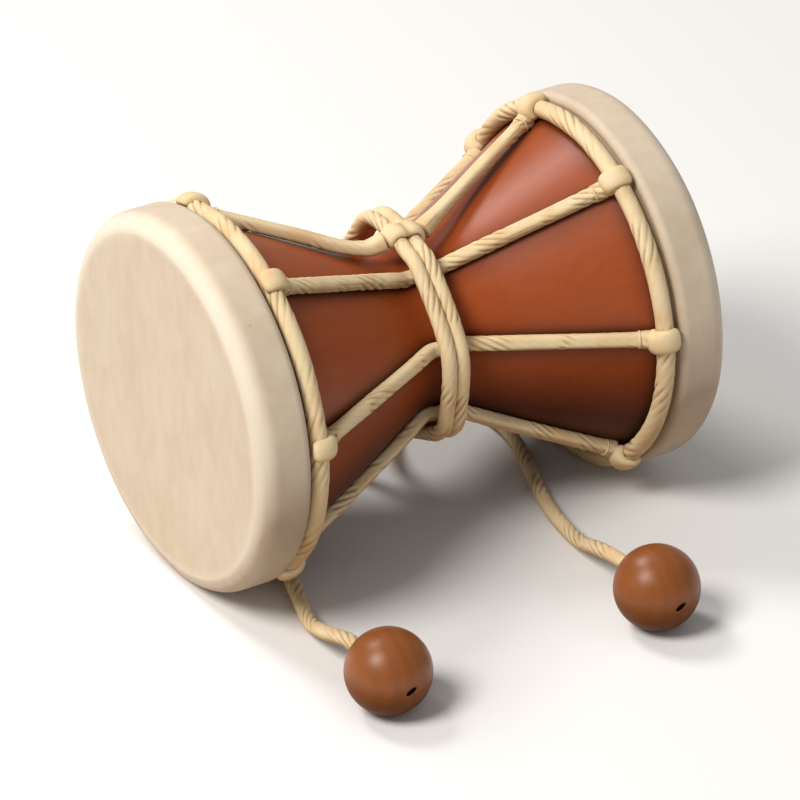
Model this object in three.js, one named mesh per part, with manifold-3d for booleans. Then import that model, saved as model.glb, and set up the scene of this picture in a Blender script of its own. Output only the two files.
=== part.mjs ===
import * as THREE from 'three';
import { ParametricGeometry } from 'three/addons/geometries/ParametricGeometry.js';
import { mergeVertices } from 'three/addons/utils/BufferGeometryUtils.js';
import Module from 'manifold-3d';

// A laced hourglass hand drum lying on its side, with two beaded striker cords.
// Millimetres. X runs along the drum's axis, the strikers lie toward -Y, and Z is up from the floor.
// Around the drum an angle is counted from the top, positive toward the strikers.

const headRadius = 60;
const halfLength = 82.4;
const headFace = 1.6;
const headEdgeRound = 6;
const skirtInner = 56.6;
const lipStart = 65.3;
const axisHeight = 59.8;

const landRadius = 56.3;
const landStart = 68.1;
const shellEnd = 80.5;
const neckRadius = 25.9;
const neckHalf = 5.5;
const wall = 5.2;

const hoopAxial = 61.2;
const hoopRadius = 56.3;
const hoopThick = 2.8;

const lacingThick = 2.3;
const lacingLift = 2.65;
const lacingHoopAngles = [-20, 29, 82, 141, 195, 250, 297];
const lacingWaistAngles = [4, 22, 72, 125, 185, 240, 292];
const firstLacingLeft = [[6.8, 36.2, 4], [12, 34.8, 2], [20, 36.5, -3], [30, 41, -9], [40, 45.7, -14], [57.5, 54.1, -20]];
const firstLacingRight = [[6.8, 36.2, 4], [57.5, 54.1, -20]];
const collarThick = 4.5;
const collarWidth = 5.8;

const bandThick = 2.35;
const bandSpacing = 4.5;
const bandRadii = [
  [-36, 34.6], [-28, 36.9], [-21, 38.4], [-14, 38.2], [-6, 36.9], [4, 36], [14, 35.1], [28, 34.4], [72, 34.3],
  [112, 34.3], [126, 34.2], [136, 32.4], [146, 30.9], [155.5, 30.4], [165, 30.9], [175, 32.4], [185, 34.2],
  [196, 34.3], [230, 34.3], [270, 34.3], [292, 34.3], [303, 33.2], [314, 33],
];
const hitchHalf = [6.9, 4.9];
const hitchThick = 1.9;
const hitchWidth = 6.4;
const tieAngle = 205;
const tieHalf = [6.3, 4.1];
const tieWidth = 9;

const cordThick = 2.3;
const cordLeftRoute = [
  [-3.2, 16.4, 24.7], [-4.1, 19.4, 18.6], [-8, 25.5, 10], [-14.5, 33.5, 4.2], [-25, 39.5, 2.5],
  [-39, 37, 2.5], [-48.5, 24, 2.5], [-51.5, 5, 2.5], [-51.5, -16, 2.5], [-55.4, -30.5, 2.5],
  [-58.9, -41.2, 2.5], [-61.9, -51.7, 3.4], [-64.2, -64.5, 8.2], [-64, -76, 12.4], [-62.8, -87, 13.1],
];
const cordRightRoute = [
  [3.2, 16.4, 24.7], [4.3, 19.4, 18.6], [9.5, 25.5, 9.6], [17.5, 33, 3.9], [28, 38.5, 2.5],
  [39.5, 38.5, 2.5], [47.3, 31, 2.5], [49.2, 19.5, 2.5], [47.5, 7, 2.5], [43.6, -5.7, 2.5],
  [39.3, -18.2, 2.5], [35.8, -30.6, 2.5], [33.3, -45.2, 2.7], [30.9, -58.4, 5.6],
  [29.4, -72.3, 10.8], [30, -89.7, 13.1],
];

const beadRadius = 13.3;
const beadHeight = 13.1;
const beadLeft = [-62.8, -98.1];
const beadRight = [30, -100.8];
const beadSocket = 2.75;
const beadPinhole = 1.7;

const ringSegments = 36;

const wasm = await Module();
wasm.setup();

const wood = { color: 0x8a4229, roughness: 0.42, metalness: 0 };
const hide = { color: 0xead9bd, roughness: 0.62, metalness: 0 };
const cotton = { color: 0xe6cf9f, roughness: 0.8, metalness: 0 };
const beadWood = { color: 0x824c28, roughness: 0.38, metalness: 0 };

// Closed geometry to a manifold solid, turned the right way out.
function solid(geometry) {
  geometry.deleteAttribute('normal');
  geometry.deleteAttribute('uv');
  const merged = mergeVertices(geometry, 1e-4);
  const points = merged.attributes.position.array;
  const triangles = [];
  let volume = 0;
  for (let i = 0; i < merged.index.count; i += 3) {
    const [a, b, c] = [0, 1, 2].map((k) => merged.index.getX(i + k));
    if (a === b || b === c || c === a) continue;
    triangles.push([a, b, c]);
    const [pa, pb, pc] = [a, b, c].map((k) => new THREE.Vector3().fromArray(points, k * 3));
    volume += pa.dot(pb.cross(pc));
  }
  if (volume < 0) triangles.forEach((t) => t.reverse());
  return new wasm.Manifold(new wasm.Mesh({
    numProp: 3,
    vertProperties: new Float32Array(points),
    triVerts: new Uint32Array(triangles.flat()),
  }));
}

function toGeometry(body) {
  const mesh = body.getMesh();
  const geometry = new THREE.BufferGeometry();
  geometry.setAttribute('position', new THREE.BufferAttribute(new Float32Array(mesh.vertProperties), 3));
  geometry.setIndex(new THREE.BufferAttribute(new Uint32Array(mesh.triVerts), 1));
  return geometry;
}

function piece(name, body, look) {
  const mesh = new THREE.Mesh(toGeometry(body), new THREE.MeshStandardMaterial(look));
  mesh.name = name;
  return mesh;
}

const radians = THREE.MathUtils.degToRad;

function onDrum(axial, radius, angle) {
  return new THREE.Vector3(axial, -radius * Math.sin(angle), radius * Math.cos(angle));
}

// A profile of [axial, radius] pairs turned about X. A profile off the axis closes on itself.
function turned(profile, segments = ringSegments) {
  const points = profile.map(([axial, radius]) => new THREE.Vector2(radius, axial));
  if (profile[0][1] > 0) points.push(points[0].clone());
  return solid(new THREE.LatheGeometry(points, segments).rotateZ(-Math.PI / 2));
}

function arc(axial, radius, round, from, to, steps) {
  return Array.from({ length: steps + 1 }, (_, i) => {
    const angle = radians(from + ((to - from) * i) / steps);
    return [axial + round * Math.cos(angle), radius + round * Math.sin(angle)];
  });
}

// A ring about X whose section is a closed curve and whose radius follows the angle.
function ring(section, radiusAt) {
  const surface = (u, v, target) => {
    const angle = u * 2 * Math.PI;
    const [axial, out] = section(v * 2 * Math.PI);
    target.copy(onDrum(axial, radiusAt(angle) + out, angle));
  };
  return (sides) => solid(new ParametricGeometry(surface, ringSegments, sides));
}

function tube(path, radius, steps) {
  const outline = new THREE.Shape();
  for (let i = 0; i <= 8; i += 1) {
    const angle = (i * Math.PI) / 4 + Math.PI / 8;
    const [x, y] = [radius * Math.cos(angle), radius * Math.sin(angle)];
    if (i === 0) outline.moveTo(x, y);
    else outline.lineTo(x, y);
  }
  return solid(new THREE.ExtrudeGeometry(outline, { steps, extrudePath: path, bevelEnabled: false }));
}

// Shell: an hourglass turned from one block, open at both ends and bored to a throat at the neck.
const slope = (landRadius - neckRadius) / (landStart - neckHalf);
const lean = Math.atan(slope);
const coneRadius = (axial) => neckRadius + slope * Math.max(0, axial - neckHalf);
const boreAt = (axial) => coneRadius(axial) - wall / Math.cos(lean);

const shellHalf = [
  [neckHalf, neckRadius], [landStart, landRadius],
  [shellEnd - 2.4, landRadius], [shellEnd - 0.9, landRadius - 0.8], [shellEnd, landRadius - 2.4],
  [shellEnd, 52], [shellEnd - 1, 50.6], [66, boreAt(66)], [12, boreAt(12)], [4, neckRadius - 5.6],
];
const mirrored = (half) => half.map(([axial, radius]) => [-axial, radius]).reverse();
const shell = turned([...shellHalf, ...mirrored(shellHalf)]);

// Head: hide lapped over the shell's rim, flat across the face, with a small flat worn under the rim.
const headProfile = [
  [halfLength, 0],
  ...arc(halfLength - headEdgeRound, headRadius - headEdgeRound, headEdgeRound, 0, 90, 4),
  ...arc(lipStart + 2.8, headRadius - 2.8, 2.8, 90, 180, 3),
  [lipStart + 0.5, skirtInner], [halfLength - headFace - 2.4, skirtInner],
  [halfLength - headFace - 0.8, skirtInner - 0.8], [halfLength - headFace, skirtInner - 2.4],
  [halfLength - headFace, 0],
];
const under = solid(new THREE.BoxGeometry(400, 400, 100).translate(0, 0, -axisHeight - 50));
const headBody = turned(headProfile).subtract(under);

// Hoop rope: the ring behind each head that the lacing is tied to.
const roundSection = (radius) => (turn) => [radius * Math.cos(turn), radius * Math.sin(turn)];
const hoopBody = ring(roundSection(hoopThick), () => hoopRadius)(8);

// Collar: a lacing's end wrapped round its hoop rope, open where the shell and head leave no room.
const collarInner = hoopThick + 0.3;
const collarOutline = new THREE.Shape([
  ...arc(0, 0, collarThick, 40, 238, 6),
  ...arc(0, 0, collarInner, 238, 40, 6),
].map(([x, y]) => new THREE.Vector2(x, y)));

function collar(side, angle) {
  const outward = new THREE.Vector3(side, 0, 0);
  const radial = onDrum(0, 1, angle);
  const along = outward.clone().cross(radial);
  const place = new THREE.Matrix4().makeBasis(outward, radial, along);
  place.setPosition(onDrum(side * hoopAxial, hoopRadius, angle));
  const sleeve = new THREE.ExtrudeGeometry(collarOutline, { depth: collarWidth, bevelEnabled: false });
  return solid(sleeve.translate(0, 0, -collarWidth / 2).applyMatrix4(place));
}

// Lacing: one taut cord from hoop to hoop across the neck. It follows the straightest line on each cone.
const lacingEnd = 57.5;
const lift = lacingLift / Math.cos(lean);
const neckRun = neckRadius + lacingLift + 0.05;

function conePath(side, hoopAngle, waistAngle) {
  const start = coneRadius(12) + lift;
  const end = coneRadius(lacingEnd) + lift;
  const turn = (hoopAngle - waistAngle) * Math.sin(lean);
  const from = new THREE.Vector2(start, 0).divideScalar(Math.sin(lean));
  const to = new THREE.Vector2(Math.cos(turn), Math.sin(turn)).multiplyScalar(end / Math.sin(lean));
  const points = [onDrum(side * 6, neckRun, waistAngle)];
  for (let i = 0; i <= 4; i += 1) {
    const flat = from.clone().lerp(to, i / 4);
    const radius = flat.length() * Math.sin(lean);
    const axial = neckHalf + (radius - lift - neckRadius) / slope;
    const angle = waistAngle + Math.atan2(flat.y, flat.x) / Math.sin(lean);
    points.push(onDrum(side * axial, radius, angle));
  }
  return points;
}

function lacing(hoopDegrees, waistDegrees) {
  const waistAngle = radians(waistDegrees);
  const hoopAngle = radians(hoopDegrees);
  const left = conePath(-1, hoopAngle, waistAngle).reverse();
  const right = conePath(1, hoopAngle, waistAngle);
  const path = new THREE.CatmullRomCurve3([...left, onDrum(0, neckRun, waistAngle), ...right]);
  return tube(path, lacingThick, 12).add(collar(-1, hoopAngle)).add(collar(1, hoopAngle));
}

// Waist band: two touching turns of rope over six lacings, humped beside the hitch of the first.
const bandCurve = new THREE.CatmullRomCurve3(
  bandRadii.map(([degrees, radius]) => onDrum(0, radius, radians(degrees))),
  true,
);
const bandSamples = bandCurve.getPoints(720).map((p) => [
  (Math.atan2(-p.y, p.z) + 2 * Math.PI) % (2 * Math.PI), Math.hypot(p.y, p.z),
]);

function bandRadiusAt(angle) {
  const turn = ((angle % (2 * Math.PI)) + 2 * Math.PI) % (2 * Math.PI);
  const gap = ([sample]) => Math.min(Math.abs(sample - turn), 2 * Math.PI - Math.abs(sample - turn));
  return bandSamples.reduce((best, sample) => (gap(sample) < gap(best) ? sample : best))[1];
}

// The section of both turns together: two circles that just overlap.
function twinSection(turn) {
  const half = turn < Math.PI ? 1 : -1;
  const local = turn < Math.PI ? turn : turn - Math.PI;
  const opening = Math.acos(bandSpacing / 2 / bandThick);
  const angle = -Math.PI + opening + (local / Math.PI) * 2 * (Math.PI - opening);
  return [half * (bandSpacing / 2 + bandThick * Math.cos(angle)), half * bandThick * Math.sin(angle)];
}

function tieKnot() {
  const [wide, high] = tieHalf;
  const outline = new THREE.Shape();
  outline.absellipse(0, 0, wide, high, 0, 2 * Math.PI, false, 0);
  const lump = new THREE.ExtrudeGeometry(outline, {
    depth: tieWidth - 3, curveSegments: 7, bevelThickness: 1.5, bevelSize: 1.2, bevelOffset: -1.2,
    bevelSegments: 1,
  });
  const radial = onDrum(0, 1, radians(tieAngle));
  const outward = new THREE.Vector3(1, 0, 0);
  const place = new THREE.Matrix4().makeBasis(outward, radial, outward.clone().cross(radial));
  place.setPosition(onDrum(0, bandRadiusAt(radians(tieAngle)), radians(tieAngle)));
  return solid(lump.translate(0, 0, -(tieWidth - 3) / 2).applyMatrix4(place));
}

const bandBody = ring(twinSection, bandRadiusAt)(16).add(tieKnot());

// First lacing: its two halves end in a hitch that goes right round both turns of the band.
function hitchedLacing(hoopDegrees, waistDegrees) {
  const waistAngle = radians(waistDegrees);
  const hoopAngle = radians(hoopDegrees);
  const radius = bandRadiusAt(waistAngle);
  const [wide, high] = hitchHalf;
  const outline = new THREE.Shape();
  outline.absellipse(0, 0, wide + 0.6, high, 0, 2 * Math.PI, false, 0);
  const hole = new THREE.Path();
  hole.absellipse(0, 0, wide - hitchThick + 1.1, high - hitchThick + 0.3, 0, 2 * Math.PI, true, 0);
  outline.holes.push(hole);
  const radial = onDrum(0, 1, waistAngle);
  const outward = new THREE.Vector3(1, 0, 0);
  const place = new THREE.Matrix4().makeBasis(outward, radial, outward.clone().cross(radial));
  place.setPosition(onDrum(0, radius, waistAngle));
  const loop = new THREE.ExtrudeGeometry(outline, { depth: hitchWidth, curveSegments: 8, bevelEnabled: false });
  let body = solid(loop.translate(0, 0, -hitchWidth / 2).applyMatrix4(place));
  for (const [side, route] of [[-1, firstLacingLeft], [1, firstLacingRight]]) {
    const path = route.map(([axial, out, degrees]) => onDrum(side * axial, out, radians(degrees)));
    body = body.add(tube(new THREE.CatmullRomCurve3(path), lacingThick, 6)).add(collar(side, hoopAngle));
  }
  return body;
}

// Bead: a turned ball with a socket for the cord at the back and a pinhole at the front.
const beadPoint = (radius) => Math.sqrt(beadRadius ** 2 - radius ** 2);
const socketAngle = THREE.MathUtils.radToDeg(Math.asin(beadSocket / beadRadius));
const pinAngle = THREE.MathUtils.radToDeg(Math.asin(beadPinhole / beadRadius));
const beadProfile = [
  ...arc(0, 0, beadRadius, socketAngle, 180 - pinAngle, 10),
  [-5, beadPinhole], [-4, beadSocket],
];
const beadBody = turned(beadProfile, 20).rotate([0, 0, 90])
  .subtract(solid(new THREE.BoxGeometry(80, 80, 40).translate(0, 0, -beadHeight - 20)));

const drum = new THREE.Group();
drum.position.z = axisHeight;
drum.add(piece('body_shell', shell, wood));

for (const [name, side] of [['left', -1], ['right', 1]]) {
  const head = piece(`head_${name}`, headBody, hide);
  head.rotation.z = side < 0 ? Math.PI : 0;
  drum.add(head);
  const hoop = piece(`hoop_rope_${name}`, hoopBody, cotton);
  hoop.position.x = side * hoopAxial;
  drum.add(hoop);
}

lacingHoopAngles.forEach((hoopDegrees, i) => {
  const body = (i === 0 ? hitchedLacing : lacing)(hoopDegrees, lacingWaistAngles[i]);
  drum.add(piece(`lacing_cord_${i + 1}`, body, cotton));
});
drum.add(piece('waist_band', bandBody, cotton));

const strikers = new THREE.Group();
const strikerSides = [
  ['left', cordLeftRoute, beadLeft],
  ['right', cordRightRoute, beadRight],
];
for (const [name, route, [x, y]] of strikerSides) {
  const path = new THREE.CatmullRomCurve3(route.map((p) => new THREE.Vector3(...p)));
  strikers.add(piece(`striker_cord_${name}`, tube(path, cordThick, 22), cotton));
  const bead = piece(`bead_${name}`, beadBody, beadWood);
  bead.position.set(x, y, beadHeight);
  strikers.add(bead);
}

const damaru = new THREE.Group();
damaru.add(drum, strikers);

export default damaru;
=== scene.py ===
import math

import bmesh
import bpy
import numpy as np
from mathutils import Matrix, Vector
from mathutils.kdtree import KDTree


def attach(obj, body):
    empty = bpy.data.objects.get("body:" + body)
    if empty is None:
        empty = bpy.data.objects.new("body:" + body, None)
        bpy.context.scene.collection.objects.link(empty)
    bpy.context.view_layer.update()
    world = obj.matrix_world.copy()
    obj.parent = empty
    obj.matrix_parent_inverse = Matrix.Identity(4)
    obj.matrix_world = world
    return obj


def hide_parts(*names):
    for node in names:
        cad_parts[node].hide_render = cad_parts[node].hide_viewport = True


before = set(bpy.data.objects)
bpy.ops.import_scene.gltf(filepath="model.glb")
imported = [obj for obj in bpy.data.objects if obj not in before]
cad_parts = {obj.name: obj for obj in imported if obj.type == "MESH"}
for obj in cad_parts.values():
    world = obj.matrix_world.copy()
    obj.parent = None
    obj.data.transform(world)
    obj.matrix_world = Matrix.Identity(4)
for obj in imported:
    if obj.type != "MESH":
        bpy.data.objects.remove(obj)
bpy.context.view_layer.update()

# Lengths are in millimetres until a mesh is made. The drum's axis runs along X at axisHeight,
# and an angle round it is counted from the top, positive toward the strikers.
drum = {"axisHeight": 59.8, "headRadius": 60.0, "halfLength": 82.4}
toMetres = 0.001
fullTurn = 2 * np.pi
anyPhase = (0, 6.28)


def onDrum(axial, radius, angle):
    axial, radius, angle = np.broadcast_arrays(axial, radius, angle)
    return np.stack([axial, -radius * np.sin(angle), radius * np.cos(angle) + drum["axisHeight"]], -1)


def awayFromAxis(angle):
    return onDrum(0, 1, angle) - onDrum(0, 0, angle)


def unit(vectors):
    return vectors / np.maximum(np.linalg.norm(vectors, axis=-1, keepdims=True), 1e-12)


def smoothStep(low, high, value):
    t = np.clip((value - low) / (high - low), 0, 1)
    return t * t * (3 - 2 * t)


def roundTurn(count):
    return np.linspace(0, fullTurn, count, endpoint=False)


def squared(values, power):
    # keeps the sign, so that a power under 1 fills a circle's corners
    return np.sign(values) * np.abs(values) ** power


def curveThrough(points, step, closed=False, spanSteps=24):
    # Catmull-Rom through the points, then even steps along it
    points = np.asarray(points, float)
    if closed:
        padded = np.concatenate([points[-1:], points, points[:2]])
    else:
        padded = np.concatenate([[2 * points[0] - points[1]], points, [2 * points[-1] - points[-2]]])
    t = np.linspace(0, 1, spanSteps, endpoint=False)[:, None]
    runs = []
    for a, b, c, d in zip(padded, padded[1:], padded[2:], padded[3:]):
        runs.append(0.5 * (2 * b + (c - a) * t + (2 * a - 5 * b + 4 * c - d) * t ** 2
                           + (3 * b - a - 3 * c + d) * t ** 3))
    line = np.concatenate(runs + [padded[-2][None]])
    walked = walkedLength(line)
    count = max(4, int(round(walked[-1] / step)))
    even = np.linspace(0, walked[-1], count + 1)
    line = np.stack([np.interp(even, walked, line[:, k]) for k in range(line.shape[1])], -1)
    return line[:-1] if closed else line


def walkedLength(line, closed=False):
    ends = np.roll(line, -1, axis=0) if closed else line[1:]
    starts = line if closed else line[:-1]
    return np.concatenate([[0], np.cumsum(np.linalg.norm(ends - starts, axis=1))])


def cyclesOf(whole, lengths):
    # how often waves of about these lengths fit in the whole
    return [max(1, round(whole / length)) for length in lengths]


def slowWave(seed, walked, whole, cycles):
    # a smooth repeatable wave between 0 and 1 that closes on itself over the whole length
    dice = np.random.default_rng(seed)
    wave = sum(dice.uniform(0.5, 1) * np.sin(fullTurn * cycle * walked / whole + dice.uniform(*anyPhase))
               for cycle in cycles)
    return 0.5 + 0.5 * np.tanh(wave)


def gridFaces(rows, columns, closeRows):
    # quads between neighbouring rows, whose columns always close into a ring
    r = np.arange(rows if closeRows else rows - 1)[:, None]
    c = np.arange(columns)[None]
    r2, c2 = (r + 1) % rows, (c + 1) % columns
    faces = [r * columns + c, r * columns + c2, r2 * columns + c2, r2 * columns + c]
    return np.stack(faces, -1).reshape(-1, 4)


def paint(mesh, name, values):
    mesh.attributes.new(name, "FLOAT", "POINT").data.foreach_set("value", values)


def turnOut(mesh):
    work = bmesh.new()
    work.from_mesh(mesh)
    bmesh.ops.recalc_face_normals(work, faces=work.faces)
    work.to_mesh(mesh)
    work.free()


class Surface:
    # gathers grids of points into one mesh with its painted values
    def __init__(self):
        self.points, self.quads, self.fans, self.painted, self.count = [], [], [], {}, 0

    def grid(self, points, closeRows=False, caps=False, **painted):
        rows, columns = points.shape[:2]
        self.quads.append(gridFaces(rows, columns, closeRows) + self.count)
        if caps:
            self.fans.append([self.count + i for i in range(columns)][::-1])
            self.fans.append([self.count + (rows - 1) * columns + i for i in range(columns)])
        for key, value in painted.items():
            run = np.broadcast_to(value, (rows, columns)).ravel()
            self.painted.setdefault(key, []).append((self.count, run))
        self.points.append(points.reshape(-1, 3))
        self.count += rows * columns
        return self

    def finished(self, name, material, slot, node):
        mesh = bpy.data.meshes.new(name)
        faces = [tuple(face) for quads in self.quads for face in quads.tolist()]
        faces += [tuple(fan) for fan in self.fans]
        mesh.from_pydata((np.concatenate(self.points) * toMetres).tolist(), [], faces)
        mesh.validate(clean_customdata=False)
        for key, runs in self.painted.items():
            values = np.zeros(self.count, np.float32)
            for start, run in runs:
                values[start:start + len(run)] = run
            paint(mesh, key, values)
        mesh.shade_smooth()
        mesh.materials.append(material)
        piece = bpy.data.objects.new(name, mesh)
        bpy.context.scene.collection.objects.link(piece)
        turnOut(mesh)
        normals = np.zeros(3 * len(mesh.vertices), np.float32)
        mesh.vertex_normals.foreach_get("vector", normals)
        # how far each point faces the floor, which sets the painted shade on the sides facing down
        under = smoothStep(0.45, -0.85, normals.reshape(-1, 3)[:, 2])  # 0 facing up, 1 facing the floor
        paint(mesh, "under", under.astype(np.float32))
        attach(piece, "root")
        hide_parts(node)
        return piece


def carriedFrames(line, closed=False, start=None):
    # a pair of directions square to the line that turn as little as they can
    steps = np.roll(line, -1, axis=0) - np.roll(line, 1, axis=0) if closed else np.gradient(line, axis=0)
    ahead = unit(steps)
    side = np.zeros_like(line)
    guess = np.array(start if start is not None else [0, 0, 1.0])
    for i, direction in enumerate(ahead):
        guess = guess - direction * guess.dot(direction)
        guess = guess / np.linalg.norm(guess)
        side[i] = guess
    return ahead, side, np.cross(ahead, side)


class Flow:
    # a socket that can be used in sums
    def __init__(self, bench, socket):
        self.bench, self.socket = bench, socket

    def maths(self, operation, *others):
        return self.bench.add("Math", {"operation": operation}, dict(enumerate([self, *others])))

    def __add__(self, other):
        return self.maths("ADD", other)

    def __mul__(self, other):
        return self.maths("MULTIPLY", other)

    __radd__ = __add__
    __rmul__ = __mul__

    def least(self, other):
        return self.maths("MINIMUM", other)

    def spread(self, low, high, toLow=0.0, toHigh=1.0):
        return self.bench.add("MapRange", {"interpolation_type": "SMOOTHSTEP"},
                              {"Value": self, "From Min": low, "From Max": high,
                               "To Min": toLow, "To Max": toHigh})


class Bench:
    # one material and the nodes put into it
    def __init__(self, name):
        self.material = bpy.data.materials.new(name)
        self.material.use_nodes = True
        self.tree = self.material.node_tree
        self.shader = self.tree.nodes["Principled BSDF"]

    def add(self, kind, settings=None, sockets=None, output=0):
        node = self.tree.nodes.new("ShaderNode" + kind)
        for key, value in (settings or {}).items():
            setattr(node, key, value)
        for key, value in (sockets or {}).items():
            self.plug(node.inputs[key], value)
        return Flow(self, node.outputs[output])

    def plug(self, socket, value):
        if isinstance(value, Flow):
            self.tree.links.new(value.socket, socket)
        elif isinstance(value, (tuple, list)) and len(value) == 3 and len(socket.default_value) == 4:
            socket.default_value = (*value, 1)
        else:
            socket.default_value = value

    def blendColour(self, first, second, factor, blend="MIX"):
        return self.add("Mix", {"data_type": "RGBA", "blend_type": blend},
                        {0: factor, 6: first, 7: second}, output=2)

    def darken(self, colour, factor):
        return self.add("VectorMath", {"operation": "SCALE"}, {0: colour, "Scale": factor})

    def painted(self, name):
        return self.add("Attribute", {"attribute_name": name}, output=2)

    def paintShade(self, colour, shadeColour, beside, below, reach=1.3):
        # painted shade in the corners beside the ropes, and on the sides that face the floor
        colour = self.blendColour(colour, shadeColour, (self.painted("shade") * beside).least(1.0))
        underneath = (self.painted("under") * reach).least(1.0) * below
        return self.blendColour(colour, shadeColour, underneath, "MULTIPLY")

    def place(self, scale=(1, 1, 1)):
        spot = self.add("TexCoord", output=3)
        return self.add("Mapping", sockets={"Vector": spot, "Scale": scale})

    def noise(self, where, scale, detail=3.0, roughness=0.5):
        return self.add("TexNoise", sockets={"Vector": where, "Scale": scale, "Detail": detail,
                                             "Roughness": roughness})

    def finish(self, sockets, bump=None):
        for key, value in sockets.items():
            self.plug(self.shader.inputs[key], value)
        if bump:
            height, strength, distance = bump
            relief = self.add("Bump", sockets={"Strength": strength, "Distance": distance, "Height": height})
            self.plug(self.shader.inputs["Normal"], relief)
        return self.material


cameraPlan = {
    "azimuth": -31.2, "elevation": 31.0, "distance": 2.0, "lens": 293.4,
    "aimDown": 0.02006, "aimRight": 0.0005, "clip": (0.1, 30),  # metres
}


def makeCamera(plan):
    azimuth, elevation = math.radians(plan["azimuth"]), math.radians(plan["elevation"])
    back = Vector((math.sin(azimuth) * math.cos(elevation), -math.cos(azimuth) * math.cos(elevation),
                   math.sin(elevation)))
    right = Vector((math.cos(azimuth), math.sin(azimuth), 0))
    up = back.cross(right)
    centre = Vector((0, 0, drum["axisHeight"] * toMetres))
    target = centre - up * plan["aimDown"] + right * plan["aimRight"]
    camera = bpy.data.objects.new("camera", bpy.data.cameras.new("camera"))
    camera.data.lens = plan["lens"]
    camera.data.clip_start, camera.data.clip_end = plan["clip"]
    camera.location = target + back * plan["distance"]
    camera.rotation_euler = (-back).to_track_quat("-Z", "Y").to_euler()
    bpy.context.scene.collection.objects.link(camera)
    bpy.context.scene.camera = camera


makeCamera(cameraPlan)
print("camera placed")


ropeFinish = {
    "light": (0.84, 0.67, 0.41), "warm": (0.77, 0.55, 0.30), "shadedGroove": (0.42, 0.25, 0.11),
    "ropeShadeColour": (0.42, 0.27, 0.14), "besideShade": 0.55, "belowShade": 0.72,
}


def cottonRope():
    finish = ropeFinish
    bench = Bench("cottonRope")
    along, around = bench.painted("along"), bench.painted("round")
    fibrePlace = bench.add("CombineXYZ", sockets={0: along * 0.35 + around * 0.5, 1: around * 1.6, 2: 0.0})
    fibre = bench.noise(fibrePlace, 2.2, 4.0, 0.6)
    patchy = bench.noise(bench.place(), 90, 3.0)
    colour = bench.blendColour(finish["light"], finish["warm"], patchy.spread(0.42, 0.72))
    # painted shade in the grooves between the strands and along the folds
    colour = bench.blendColour(colour, finish["shadedGroove"], (bench.painted("shadedGroove") * 0.85).least(1.0))
    # painted shade on the rope's sides facing down
    colour = bench.paintShade(colour, finish["ropeShadeColour"], finish["besideShade"], finish["belowShade"])
    colour = bench.darken(colour, fibre.spread(0.3, 0.7, 0.95, 1.03))
    return bench.finish({"Base Color": colour, "Roughness": fibre.spread(0.2, 0.8, 0.72, 0.88),
                         "Specular IOR Level": 0.2}, bump=(fibre, 0.16, 0.0002))


ropeMaterial = cottonRope()

ropeLay = {
    "strands": 6, "lay": 25.0, "layRadius": 2.3, "grooveDepth": 0.24, "grooveWidth": 0.36, "bulge": 0.20,
    "step": 0.5, "wearLengths": (46, 27, 17), "wobble": 0.06, "wobbleLengths": (33,),
    "creaseDepth": 0.12, "creaseWidth": 0.28, "creaseShade": 0.8, "creaseLengths": (60, 31),
}


def ropeGrid(line, radius, seed, closed=False, sides=36, squareness=2.0, flatten=1.0, start=None,
             swell=None, fadeLow=0.0, crease=None):
    # the rope's skin: strands laid round the line, whose grooves come and go along it
    plan, strands = ropeLay, ropeLay["strands"]
    _, side, across = carriedFrames(line, closed, start)
    walked = walkedLength(line, closed)
    whole = walked[-1]
    walked = walked[:len(line)]
    turn = roundTurn(sides)
    lay = plan["lay"] * radius / plan["layRadius"]
    if closed:
        lay = whole * strands / round(whole * strands / lay)
    phase = strands * (turn[None] / fullTurn - walked[:, None] / lay)
    cell = phase - np.floor(phase)
    gap = np.minimum(cell, 1 - cell) * fullTurn * radius / strands
    shadedGroove = np.exp(-(gap / plan["grooveWidth"]) ** 2)
    cycles = cyclesOf(whole, plan["wearLengths"])
    fade = slowWave(seed, walked, whole, cycles)[:, None]
    patch = slowWave(seed + 91, walked, whole, cycles[1:])[:, None]
    oneSided = 0.5 + 0.5 * np.sin(turn[None] + 6 * patch + seed)
    fade = smoothStep(0.2, 0.85, fade * (0.5 + 0.7 * oneSided) + fadeLow) * 0.92 + 0.08
    skin = radius - plan["grooveDepth"] * shadedGroove * fade
    skin = skin + plan["bulge"] * fade * (np.sin(np.pi * cell) - 0.55)
    # each groove's depth also sets the painted shade in it
    shadedGroove = shadedGroove * fade
    if crease is not None:
        # a long fold that comes and goes, with painted shade along it
        creaseCycles = cyclesOf(whole, plan["creaseLengths"])
        shown = smoothStep(0.25, 0.8, slowWave(seed + 3, walked, whole, creaseCycles))
        turned = (turn[None] - crease + np.pi) % fullTurn - np.pi
        fold = np.exp(-(turned * radius / plan["creaseWidth"]) ** 2) * shown[:, None]
        skin = skin - plan["creaseDepth"] * fold
        shadedGroove = np.maximum(shadedGroove, plan["creaseShade"] * fold)
    wobble = slowWave(seed + 7, walked, whole, cyclesOf(whole, plan["wobbleLengths"])) - 0.5
    skin = skin + (plan["wobble"] * radius * wobble)[:, None]
    if swell is not None:
        skin = skin + swell[:, None]
    c, s = np.cos(turn), np.sin(turn)
    shape = (np.abs(c) ** squareness + np.abs(s) ** squareness) ** (-1 / squareness)
    out, over = (c * shape)[None] * skin * flatten, (s * shape)[None] * skin
    points = line[:, None] + out[..., None] * side[:, None] + over[..., None] * across[:, None]
    painted = {"shadedGroove": shadedGroove, "along": walked[:, None] - turn[None] * radius * 0.6,
               "round": np.abs(turn[None] - np.pi) * radius}
    return points, painted


plainRope = {"shadedGroove": 0.0, "along": 0.0, "round": 0.0, "shade": 0.0}  # painted on rope without strands
ropeTrace = []  # every rope's centre points and thickness, for the painted shade beside it


def trace(line, radius):
    ropeTrace.extend((point, radius) for point in line[::2])


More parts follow.
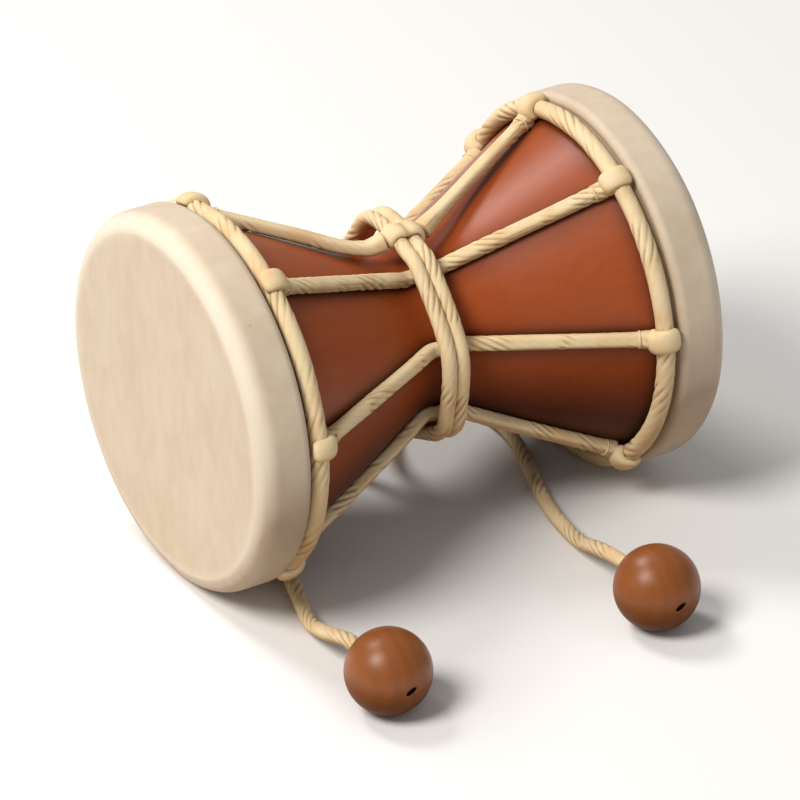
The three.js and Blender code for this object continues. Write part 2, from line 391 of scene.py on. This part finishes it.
# the end colour is painted shade: near black inside the holes, and darkening the lower side
beadPlan = {
    "radius": 13.3, "height": 13.1, "socket": 2.75, "pinhole": 1.7, "slitAngle": 26.4, "slitNarrow": 0.46,
    "left": (-62.8, -98.1), "right": (30, -100.8),
    "light": (0.305, 0.092, 0.020), "dark": (0.18, 0.050, 0.011), "end": (0.012, 0.006, 0.004),
}


def beadWood():
    plan = beadPlan
    bench = Bench("beadWood")
    bend = bench.noise(bench.place(), 30, 2.0)
    rings = bench.add("TexWave", {"wave_type": "BANDS", "bands_direction": "X", "wave_profile": "SIN"},
                      {"Vector": bench.place((26, 9, 26)), "Scale": 2.6, "Distortion": 5.0, "Detail": 2.0,
                       "Detail Scale": 0.8}, output=1)
    grain = bench.noise(bench.place((220, 40, 220)), 4.0, 5.0, 0.65)
    mixed = (rings * 0.14 + grain * 0.5 + bend * 0.45).spread(0.25, 0.95)
    colour = bench.blendColour(plan["light"], plan["dark"], mixed * 0.6)
    # painted shade: near black inside the holes, darker on the sides facing down
    colour = bench.paintShade(colour, plan["end"], 1.0, 0.62)
    return bench.finish({"Base Color": colour, "Roughness": grain.spread(0.2, 0.8, 0.36, 0.42),
                         "Specular IOR Level": 0.06, "Coat Roughness": 0.38,
                         "Coat Weight": bench.painted("under").spread(0.0, 0.42, 0.72, 0.0)},
                        bump=(grain, 0.12, 0.00012))


beadMaterial = beadWood()


def makeBead(name):
    plan = beadPlan
    radius, socket, pinhole = plan["radius"], plan["socket"], plan["pinhole"]
    sweep = np.linspace(math.asin(socket / radius) + 0.045, math.pi - math.asin(pinhole / radius) - 0.05, 90)
    profile = [(radius * math.cos(t), radius * math.sin(t)) for t in sweep]
    edge = math.sqrt(radius ** 2 - pinhole ** 2)
    profile += [(-edge - 0.02, pinhole + 0.34), (-edge + 0.16, pinhole + 0.08), (-edge + 0.5, pinhole),
                (-edge + 2, pinhole), (-5.2, pinhole), (-4.2, socket), (0, socket), (8, socket)]
    mouth = math.sqrt(radius ** 2 - socket ** 2)
    profile += [(mouth - 0.5, socket), (mouth - 0.15, socket + 0.08), (mouth + 0.02, socket + 0.36)]
    profile = np.array(profile)
    turn = roundTurn(128)
    x, y = plan[name]
    along, out = profile[:, :1], profile[:, 1:]
    # the pinhole at the front is worn to a slit
    tilt = math.radians(plan["slitAngle"])
    least = plan["slitNarrow"]
    narrow = np.where(along < 0, least + (1 - least) * smoothStep(pinhole, 4.4, out), 1)
    wide, high = out * np.cos(turn), out * np.sin(turn) * narrow
    across, up = wide * math.cos(tilt) - high * math.sin(tilt), wide * math.sin(tilt) + high * math.cos(tilt)
    ball = (along < 0) & (np.hypot(along, out) > radius - 0.02)
    along = np.where(ball, -np.sqrt(np.maximum(radius ** 2 - across ** 2 - up ** 2, 0)), along)
    points = np.stack([x + across, y + along, plan["height"] + up], -1)
    points[..., 2] = np.maximum(points[..., 2], 0)
    # the inside of the holes, where the shade is painted
    inside = (np.hypot(profile[:, 0], profile[:, 1]) < radius - 0.12).astype(float)
    surface = Surface().grid(points, closeRows=True, shade=inside[:, None])
    return surface.finished(f"strikerBead_{name}", beadMaterial, "bead_wood", f"bead_{name}")


strikerBeads = {name: makeBead(name) for name in ("left", "right")}


cordPlan = {
    "thick": 2.3,
    "left": [
        (-3.2, 16.4, 24.7), (-4.1, 19.4, 18.6), (-8, 25.5, 10), (-14.5, 33.5, 4.2), (-25, 39.5, 2.5),
        (-39, 37, 2.5), (-48.5, 24, 2.5), (-51.5, 5, 2.5), (-51.5, -16, 2.5), (-55.4, -30.5, 2.5),
        (-58.9, -41.2, 2.5), (-61.9, -51.7, 3.4), (-64.2, -64.5, 8.2), (-64, -76, 12.4), (-62.8, -87, 13.1),
    ],
    "right": [
        (3.2, 16.4, 24.7), (4.3, 19.4, 18.6), (9.5, 25.5, 9.6), (17.5, 33, 3.9), (28, 38.5, 2.5),
        (39.5, 38.5, 2.5), (47.3, 31, 2.5), (49.2, 19.5, 2.5), (47.5, 7, 2.5), (43.6, -5.7, 2.5),
        (39.3, -18.2, 2.5), (35.8, -30.6, 2.5), (33.3, -45.2, 2.7), (30.9, -58.4, 5.6),
        (29.4, -72.3, 10.8), (30, -89.7, 13.1),
    ],
}


def makeStrikerCord(name, seed):
    thick = cordPlan["thick"]
    line = curveThrough(cordPlan[name], ropeLay["step"])
    points, painted = ropeGrid(line, thick, seed, sides=34, fadeLow=0.12)
    surface = Surface().grid(points, caps=True, shade=0.0, **painted)
    piece = surface.finished(f"strikerCord_{name}", ropeMaterial, "cotton_rope", f"striker_cord_{name}")
    length = walkedLength(line)[-1] * toMetres
    print(f"striker cord {name}: {length:.3f} m")
    trace(line, thick)


makeStrikerCord("left", 3)
makeStrikerCord("right", 8)
print("strikers made")


shellPlan = {
    "landRadius": 56.3, "landStart": 68.1, "end": 80.5, "neckRadius": 25.9, "neckHalf": 5.5, "neckSoft": 3.4,
    "wall": 5.2, "neckWall": 5.6, "ropeShadeReach": 1.9, "polish": (0.008, 0.030),
    "light": (0.385, 0.080, 0.018), "dark": (0.26, 0.044, 0.009), "shadeColour": (0.036, 0.009, 0.003),
}
slope = (shellPlan["landRadius"] - shellPlan["neckRadius"]) / (shellPlan["landStart"] - shellPlan["neckHalf"])
lean = math.atan(slope)


def coneRadius(axial, soft=0.0):
    past = np.abs(axial) - shellPlan["neckHalf"]
    return shellPlan["neckRadius"] + slope * 0.5 * (past + np.sqrt(past ** 2 + soft ** 2))


hoopPlan = {"axial": 61.2, "radius": 56.3, "thick": 2.8}


def makeHoop(name, side, seed):
    turn = np.arange(0, fullTurn, ropeLay["step"] / hoopPlan["radius"])
    line = onDrum(side * hoopPlan["axial"], hoopPlan["radius"], turn)
    points, painted = ropeGrid(line, hoopPlan["thick"], seed, closed=True, sides=40, start=(side, 0, 0))
    trace(line, hoopPlan["thick"])
    surface = Surface().grid(points, closeRows=True, shade=0.0, **painted)
    surface.finished(f"hoopRope_{name}", ropeMaterial, "cotton_rope", f"hoop_rope_{name}")


bandPlan = {
    "thick": 2.35, "half": 2.28, "tieAngle": 205,
    "radii": [
        (-36, 34.4), (-28, 36.5), (-21, 37.9), (-14, 37.7), (-6, 36.7), (4, 36), (14, 35.1), (28, 34.4),
        (72, 34.3), (112, 34.3), (126, 34.1), (136, 32.1), (146, 30.5), (155.5, 30), (165, 30.5), (175, 32.1),
        (185, 34.1), (196, 34.3), (230, 34.3), (270, 34.3), (292, 34.3), (303, 33.2), (314, 33),
    ],
}
knotPlan = {
    "half": (5.9, 3.9), "thick": 1.55,
    "turns": ((-2.9, 0.5), (0.1, -0.4), (3.0, 0.3)),  # each turn's shift along the band and its tilt
}
hitchPlan = {
    "half": 3.5, "high": 1.9, "sunk": 0.4, "slip": 0.9,
    "steps": 34, "left": (236, 58), "right": (122, -56),  # degrees swept over each of the band's ropes
}


def bandTable():
    ring = curveThrough([onDrum(0, r, math.radians(a)) for a, r in bandPlan["radii"]], 0.5, closed=True)
    ring = ring - [0, 0, drum["axisHeight"]]
    angle = np.arctan2(-ring[:, 1], ring[:, 2]) % fullTurn
    order = np.argsort(angle)
    return angle[order], np.hypot(ring[:, 1], ring[:, 2])[order]


bandAngles, bandRadii = bandTable()


def bandRadius(angle):
    return np.interp(np.asarray(angle) % fullTurn, bandAngles, bandRadii, period=fullTurn)


def pillow(sides, half, high, sunk):
    # the flattened section of a cord pulled tight over another
    turn = roundTurn(sides)
    s = np.sin(turn)
    return half * squared(np.cos(turn), 0.8), np.where(s > 0, high * np.abs(s) ** 0.75, -sunk * np.abs(s))


def addHitch(surface, angle):
    # the first lacing's turn over both ropes of the band
    plan = hitchPlan
    centre = onDrum(0, bandRadius(angle), angle)
    outward, radial = np.array([1.0, 0, 0]), awayFromAxis(angle)
    along = np.cross(outward, radial)
    steps = [(side * bandPlan["half"], a) for side, name in ((-1, "left"), (1, "right"))
             for a in np.radians(np.linspace(*plan[name], plan["steps"]))]
    across, top = pillow(32, plan["half"], plan["high"], plan["sunk"])
    rows = []
    for i, (middle, a) in enumerate(steps):
        t = i / (len(steps) - 1)
        end = min(1, min(t, 1 - t) / 0.12) ** 0.5
        direction = math.cos(a) * outward + math.sin(a) * radial
        reach = bandPlan["thick"] + np.where(top > 0, top * (0.3 + 0.7 * end), top)
        shift = plan["slip"] * (t - 0.5) * 2
        rows.append(centre + outward * middle + direction * reach[:, None]
                    + along * (across * (0.78 + 0.22 * end) + shift)[:, None])
    # painted shade in the valley between the band's two ropes
    fold = np.exp(-((np.arange(len(steps)) - len(steps) / 2 + 0.5) / 2.2) ** 2)[:, None]
    surface.grid(np.array(rows), caps=True, **{**plainRope, "shadedGroove": 0.75 * fold})


def makeBand():
    plan = bandPlan
    surface = Surface()
    turn = np.arange(0, fullTurn, ropeLay["step"] / 34.5)
    for side in (-1, 1):
        line = onDrum(side * plan["half"], bandRadius(turn), turn)
        points, painted = ropeGrid(line, plan["thick"], 40 + side, closed=True, start=(1, 0, 0))
        surface.grid(points, closeRows=True, shade=0.0, **painted)
        trace(line, plan["thick"])
    # the knot underneath, which the strikers leave from
    tie = math.radians(plan["tieAngle"])
    outward, radial = np.array([1.0, 0, 0]), awayFromAxis(tie)
    along = np.cross(outward, radial)
    centre = onDrum(0, bandRadius(tie), tie)
    circle = roundTurn(90)
    wide, high = knotPlan["half"]
    flat = np.stack([wide * squared(np.cos(circle), 0.75), high * squared(np.sin(circle), 0.75)], -1)
    for shift, tilt in knotPlan["turns"]:
        loop = centre + flat[:, :1] * outward + flat[:, 1:] * radial
        loop = loop + along * (shift + tilt * np.cos(circle))[:, None]
        points, painted = ropeGrid(loop, knotPlan["thick"], 60 + int(shift), closed=True, sides=22)
        surface.grid(points, closeRows=True, shade=0.0, **painted)
    surface.finished("waistBand", ropeMaterial, "cotton_rope", "waist_band")


lacingPlan = {
    "thick": 2.3, "lift": 2.12, "start": 4.6, "end": 57.6, "worn": [-0.3, 0.05, -0.2, -0.1, 0, 0, 0],
    "hoopAngles": [-20, 29, 82, 141, 195, 250, 297],
    "waistAngles": [4, 22, 72, 125, 185, 240, 292],
    "firstLeft": [
        (6.6, 36.2, 4), (12, 34.6, 2), (20, 36.2, -3), (30, 40.7, -9), (40, 45.3, -14), (57.6, 53.8, -20),
    ],
    "firstRight": [(6.6, 36.2, 4), (57.6, 53.8, -20)],
}
collarPlan = {"half": 3.6, "high": 2.3, "sunk": 0.45, "lengthen": 1.18, "sweep": (243, 36), "skew": 1.2}


def conePath(side, hoopAngle, waistAngle):
    # the straightest line up one cone, from the neck to the hoop
    plan = shellPlan
    lift = lacingPlan["lift"] / math.cos(lean)
    inner, outer = (plan["neckRadius"] + slope * (x - plan["neckHalf"]) + lift
                    for x in (lacingPlan["start"], lacingPlan["end"]))
    turn = (hoopAngle - waistAngle) * math.sin(lean)
    first = np.array([inner, 0]) / math.sin(lean)
    last = np.array([math.cos(turn), math.sin(turn)]) * outer / math.sin(lean)
    flat = first + np.linspace(0, 1, 9)[:, None] * (last - first)
    radius = np.hypot(flat[:, 0], flat[:, 1]) * math.sin(lean)
    axial = plan["neckHalf"] + (radius - lift - plan["neckRadius"]) / slope
    angle = waistAngle + np.arctan2(flat[:, 1], flat[:, 0]) / math.sin(lean)
    return onDrum(side * axial, radius, angle)


def flare(line, near, reach):
    # the cord thickens where it runs into its collar or its hitch
    walked = walkedLength(line)
    left = walked[-1] - walked
    return 0.5 * np.exp(-(left / 3.6) ** 2) + near * np.exp(-(walked / reach) ** 2)


def addCollar(surface, side, angle, seed):
    # the wrap that ties a lacing to its hoop: a flattened turn of cord carried round part of the hoop
    plan = collarPlan
    dice = np.random.default_rng(seed)
    outward, radial = np.array([side, 0.0, 0.0]), awayFromAxis(angle)
    centre = onDrum(side * hoopPlan["axial"], hoopPlan["radius"], angle)
    along = np.cross(outward, radial)
    sweep = np.radians(np.linspace(*plan["sweep"], 44))
    half = plan["half"] * dice.uniform(0.94, 1.1)
    high = plan["high"] * dice.uniform(0.92, 1.08)
    skew = dice.uniform(-plan["skew"], plan["skew"])
    across, top = pillow(28, half, high, plan["sunk"])
    t = np.linspace(0, 1, len(sweep))
    ends = np.clip(np.minimum(t, 1 - t) / 0.14, 0, 1) ** 0.5
    width = across[None] * (0.72 + 0.28 * ends[:, None])
    height = hoopPlan["thick"] - 0.1 + np.where(top > 0, top[None] * (0.25 + 0.75 * ends[:, None]), top[None])
    direction = plan["lengthen"] * np.cos(sweep)[:, None] * outward + np.sin(sweep)[:, None] * radial
    shift = skew * (t - 0.5)[:, None]
    points = centre + direction[:, None] * height[..., None] + along * (width + shift)[..., None]
    surface.grid(points, caps=True, **plainRope)


def addRing(surface, line, at, radius, thick):
    # a thin turn of thread round the lacing's end
    ahead, side, across = carriedFrames(line)
    turn, small = roundTurn(36), roundTurn(12)
    out = radius + thick * np.cos(small)
    spokes = np.cos(turn)[:, None, None] * side[at] + np.sin(turn)[:, None, None] * across[at]
    ring = line[at] + spokes * out[None, :, None] + (thick * np.sin(small))[None, :, None] * ahead[at]
    surface.grid(ring, closeRows=True, **plainRope)


def lacingRuns(index, hoopAngle, waistAngle):
    # each run's side, its centre line, how it thickens near its start, and where its threads sit
    step = ropeLay["step"]
    if index == 1:
        routes = [(side, [onDrum(side * x, r, math.radians(a)) for x, r, a in lacingPlan[name]])
                  for side, name in ((-1, "firstLeft"), (1, "firstRight"))]
        return [(side, curveThrough(route, step), (0.8, 6), [-8]) for side, route in routes]
    left, right = (conePath(side, hoopAngle, waistAngle) for side in (-1, 1))
    middle = onDrum(0, shellPlan["neckRadius"] + lacingPlan["lift"] + 0.2, waistAngle)
    route = np.concatenate([left[::-1], middle[None], right])
    return [(0, curveThrough(route, step), (0.5, 3.6), [7, -8])]


def makeLacing(index, hoopDegrees, waistDegrees):
    hoopAngle, waistAngle = math.radians(hoopDegrees), math.radians(waistDegrees)
    thick = lacingPlan["thick"]
    surface = Surface()
    if index == 1:
        addHitch(surface, waistAngle)
    for side, line, thicken, threads in lacingRuns(index, hoopAngle, waistAngle):
        radial = onDrum(0, 1, (hoopAngle + waistAngle) / 2) - onDrum(0, 0, 0)
        points, painted = ropeGrid(line, thick * 0.98, 20 + 3 * index + side, squareness=2.9, flatten=0.93,
                                   crease=0.9, start=radial, fadeLow=lacingPlan["worn"][index - 1],
                                   swell=flare(line, *thicken))
        surface.grid(points, caps=True, shade=0.0, **painted)
        trace(line, thick)
        for at in threads:
            addRing(surface, line, at, thick + 0.28, 0.3)
    for side in (-1, 1):
        addCollar(surface, side, hoopAngle, 70 + 2 * index + side)
    surface.finished(f"lacing_{index}", ropeMaterial, "cotton_rope", f"lacing_cord_{index}")


makeHoop("left", -1, 11)
makeHoop("right", 1, 17)
makeBand()
for index, angles in enumerate(zip(lacingPlan["hoopAngles"], lacingPlan["waistAngles"]), 1):
    makeLacing(index, *angles)
print("ropes made")


def nearRope(points, falloff):
    # how near each point is to a rope, for the painted shade beside it
    tree = KDTree(len(ropeTrace))
    for i, (centre, _) in enumerate(ropeTrace):
        tree.insert(centre, i)
    tree.balance()
    shade = np.zeros(len(points))
    for i, point in enumerate(points):
        _, index, distance = tree.find(point)
        shade[i] = math.exp(-max(0, distance - ropeTrace[index][1] - 0.4) / falloff)
    return shade


def shellWood():
    plan = shellPlan
    bench = Bench("shellWood")
    grain = bench.noise(bench.place((5, 60, 60)), 6.0, 5.0, 0.6)
    fine = bench.noise(bench.place((30, 600, 600)), 2.0, 3.0, 0.6)
    cloud = bench.noise(bench.place(), 22, 2.0)
    mixed = (grain * 0.55 + cloud * 0.45).spread(0.36, 0.66)
    colour = bench.blendColour(plan["light"], plan["dark"], mixed * 0.3 + 0.1)
    colour = bench.darken(colour, fine.spread(0.25, 0.75, 0.97, 1.02))
    # painted shade beside the ropes and on the sides facing down
    colour = bench.paintShade(colour, plan["shadeColour"], 0.9, 0.84)
    # the waist, where the hand holds it, has lost its polish
    polish = bench.add("SeparateXYZ", sockets={0: bench.place()}).maths("ABSOLUTE").spread(*plan["polish"])
    return bench.finish({"Base Color": colour, "Roughness": grain.spread(0.3, 0.7, 0.36, 0.40),
                         "Specular IOR Level": 0.06, "Coat Roughness": 0.37,
                         "Coat Weight": bench.painted("under").spread(0.0, 0.36, 0.58, 0.0) * polish},
                        bump=(fine, 0.03, 0.0001))


def makeShell():
    plan = shellPlan
    start, neck, end, land = plan["landStart"], plan["neckHalf"], plan["end"], plan["landRadius"]
    outer = np.concatenate([np.linspace(-start, -neck, 66), np.linspace(-neck, neck, 12)[1:-1],
                            np.linspace(neck, start, 66)])
    rim = [(end - 2.4, land), (end - 0.9, land - 0.8), (end, land - 2.4), (end, 52), (end - 1, 50.6)]
    bore = [(x, float(coneRadius(x)) - plan["wall"] / math.cos(lean)) for x in np.linspace(66, 12, 12)]
    bore.append((4, plan["neckRadius"] - plan["neckWall"]))
    profile = [(x, float(coneRadius(x, plan["neckSoft"]))) for x in outer] + rim + bore
    profile += [(-x, r) for x, r in reversed(bore)] + [(-x, r) for x, r in reversed(rim)]
    profile = np.array(profile)
    points = onDrum(profile[:, :1], profile[:, 1:], roundTurn(320)[None])
    shade = np.zeros(points.shape[:2])
    rows = len(outer)
    # painted shade beside the ropes
    shade[:rows] = nearRope(points[:rows].reshape(-1, 3), plan["ropeShadeReach"]).reshape(rows, -1)
    surface = Surface().grid(points, closeRows=True, shade=shade)
    surface.finished("shell", shellWood(), "shell_wood", "body_shell")


makeShell()
print("shell made")


# the rim colour is a painted highlight on the rounded edge, and the darkest colour is painted shade
headPlan = {
    "edge": 6.0, "skirtInner": 56.6, "lip": 65.3, "lipRound": 2.8, "face": 1.6, "ropeShadeReach": 1.3,
    "light": (0.735, 0.615, 0.47), "warm": (0.64, 0.505, 0.355), "rim": (0.86, 0.77, 0.64),
    "speck": (0.50, 0.37, 0.25), "shadeColour": (0.28, 0.17, 0.09),
}


def drumHide():
    plan = headPlan
    bench = Bench("drumHide")
    cloud = bench.noise(bench.place((1, 1.5, 0.8)), 26, 3.0, 0.55)
    streak = bench.noise(bench.place((10, 26, 15)), 3.2, 4.0, 0.6)
    fleck = bench.noise(bench.place((1, 1.7, 0.8)), 130, 4.0, 0.62)
    pore = bench.noise(bench.place(), 900, 2.0, 0.5)
    speck = bench.add("TexVoronoi", {"feature": "F1"},
                      {"Vector": bench.place(), "Scale": 62.0, "Randomness": 1.0})
    speck = speck.spread(0.02, 0.07, 1.0, 0.0) * bench.noise(bench.place(), 40, 1.0).spread(0.44, 0.56)
    mottle = (cloud * 0.35 + streak * 0.25 + fleck * 0.4).spread(0.38, 0.62)
    colour = bench.blendColour(plan["light"], plan["warm"], mottle * 0.66)
    colour = bench.blendColour(colour, plan["speck"], speck * 0.6)
    # a painted highlight along the rounded edge, fading out on the sides facing down
    edgeHighlight = bench.painted("rim") * bench.painted("under").spread(0.22, 0.6, 0.6, 0.0)
    colour = bench.blendColour(colour, plan["rim"], edgeHighlight)
    # painted shade beside the hoop and on the sides facing down, stronger on the skirt than on the face
    skirtShade = bench.painted("skirt").spread(0, 1, 0.38, 0.64)
    colour = bench.paintShade(colour, plan["shadeColour"], 0.85, skirtShade, reach=1.9)
    relief = cloud * 0.8 + streak * 0.4 + fleck * 0.25 + pore * 0.1
    return bench.finish({"Base Color": colour, "Roughness": streak.spread(0.3, 0.7, 0.5, 0.62),
                         "Specular IOR Level": 0.3}, bump=(relief, 0.22, 0.0004))


hideMaterial = drumHide()


def makeHead(name, side, seed):
    plan = headPlan
    end, radius = drum["halfLength"], drum["headRadius"]
    edge, start, lipRound, skirtInner = plan["edge"], plan["lip"], plan["lipRound"], plan["skirtInner"]
    inside = end - plan["face"]
    face = [(end, r) for r in np.concatenate([[0.01, 1.5, 3], np.linspace(5, radius - edge - 0.8, 34)])]
    corner = [(end - edge + edge * math.sin(t), radius - edge + edge * math.cos(t))
              for t in np.linspace(math.pi / 2, 0, 26)]
    skirt = [(x, radius) for x in np.linspace(end - edge - 0.6, start + lipRound + 0.6, 9)]
    lip = [(start + lipRound * (1 - math.sin(t)), radius - lipRound + lipRound * math.cos(t))
           for t in np.linspace(0, math.pi / 2, 16)]
    # the hide turns in behind the hoop rope, then runs back over the shell's rim
    inner = [(start + 0.15, 56.6), (start - 0.5, 55.75), (start - 1.3, 55.0), (start - 2.1, 54.35),
             (start - 2.2, 54.05), (start, 55.1), (68, 56.45), (69, skirtInner), (inside - 2.4, skirtInner),
             (inside - 0.8, skirtInner - 0.8), (inside, skirtInner - 2.4), (inside, 30), (inside, 0.01)]
    profile = np.array(face + corner + skirt + lip + inner)
    axial, out = profile[:, 0], profile[:, 1]
    turn = roundTurn(320)
    points = onDrum(side * profile[:, :1], profile[:, 1:], turn[None])
    visible = len(face) + len(corner) + len(skirt) + len(lip) + 4
    # the hide's slight unevenness round the drum
    dice = np.random.default_rng(seed)
    ripple = sum(dice.uniform(0.02, 0.06) * np.sin(k * turn + dice.uniform(*anyPhase))
                 for k in (2, 3, 5, 7, 11))
    reach = smoothStep(20, 60, out) * smoothStep(start - 0.6, start + 1.8, axial)
    radial = unit(points - onDrum(side * profile[:, :1], 0 * profile[:, 1:], turn[None]))
    bulge = np.zeros(points.shape[:2])
    bulge[:visible] = reach[:visible, None] * (ripple[None] - 0.12)
    points = points + radial * bulge[..., None]
    points[..., 2] = np.maximum(points[..., 2], 0)
    # painted shade beside the hoop rope
    shade = np.zeros(points.shape[:2])
    near = slice(len(face) + len(corner), visible)
    shade[near] = nearRope(points[near].reshape(-1, 3), plan["ropeShadeReach"]).reshape(shade[near].shape)
    # where the painted highlight lies: on the rounded edge between the face and the skirt
    rim = np.where(axial > end - 0.01, smoothStep(51.5, 55.5, out), smoothStep(end - 5.5, end - 1, axial))
    rim[visible:] = 0
    skirtOnly = smoothStep(end + 0.2, end - 2.5, axial)
    surface = Surface().grid(points, shade=shade, rim=rim[:, None], skirt=skirtOnly[:, None], caps=True)
    surface.finished(f"head_{name}_hide", hideMaterial, "drum_hide", f"head_{name}")


makeHead("left", -1, 5)
makeHead("right", 1, 6)
print("heads made")


studio = {
    "floor": (0.945, 0.938, 0.925), "floorHalf": 6, "world": 0.28, "aim": (0, 0, 0.05),
    "lamps": [
        ("key", (-1.00, -0.16, 1.25), 0.7, 19.0, (1.0, 0.965, 0.92)),
        ("top", (-0.32, 0.85, 1.28), 0.5, 9.5, (1.0, 0.98, 0.96)),
    ],
}


def makeStudio(plan):
    bench = Bench("paleFloor")
    mottle = bench.noise(bench.place(), 3.0, 2.0)
    colour = bench.darken(plan["floor"], mottle.spread(0.3, 0.7, 0.995, 1.0))
    half = plan["floorHalf"]
    mesh = bpy.data.meshes.new("floor")
    corners = [(-half, -half, 0), (half, -half, 0), (half, half, 0), (-half, half, 0)]
    mesh.from_pydata(corners, [], [(0, 1, 2, 3)])
    mesh.materials.append(bench.finish({"Base Color": colour, "Roughness": 0.9}))
    floor = bpy.data.objects.new("floor", mesh)
    bpy.context.scene.collection.objects.link(floor)
    world = bpy.data.worlds.new("studio")
    world.use_nodes = True
    sky = world.node_tree.nodes["Background"]
    sky.inputs["Color"].default_value = (1, 1, 1, 1)
    sky.inputs["Strength"].default_value = plan["world"]
    bpy.context.scene.world = world
    for name, place, size, power, colour in plan["lamps"]:
        lamp = bpy.data.objects.new(name, bpy.data.lights.new(name, "AREA"))
        lamp.data.shape, lamp.data.size, lamp.data.energy, lamp.data.color = "DISK", size, power, colour
        lamp.location = place
        lamp.rotation_euler = (Vector(plan["aim"]) - Vector(place)).to_track_quat("-Z", "Y").to_euler()
        bpy.context.scene.collection.objects.link(lamp)
    bpy.context.scene.view_settings.view_transform = "Standard"


makeStudio(studio)

print("scene made")
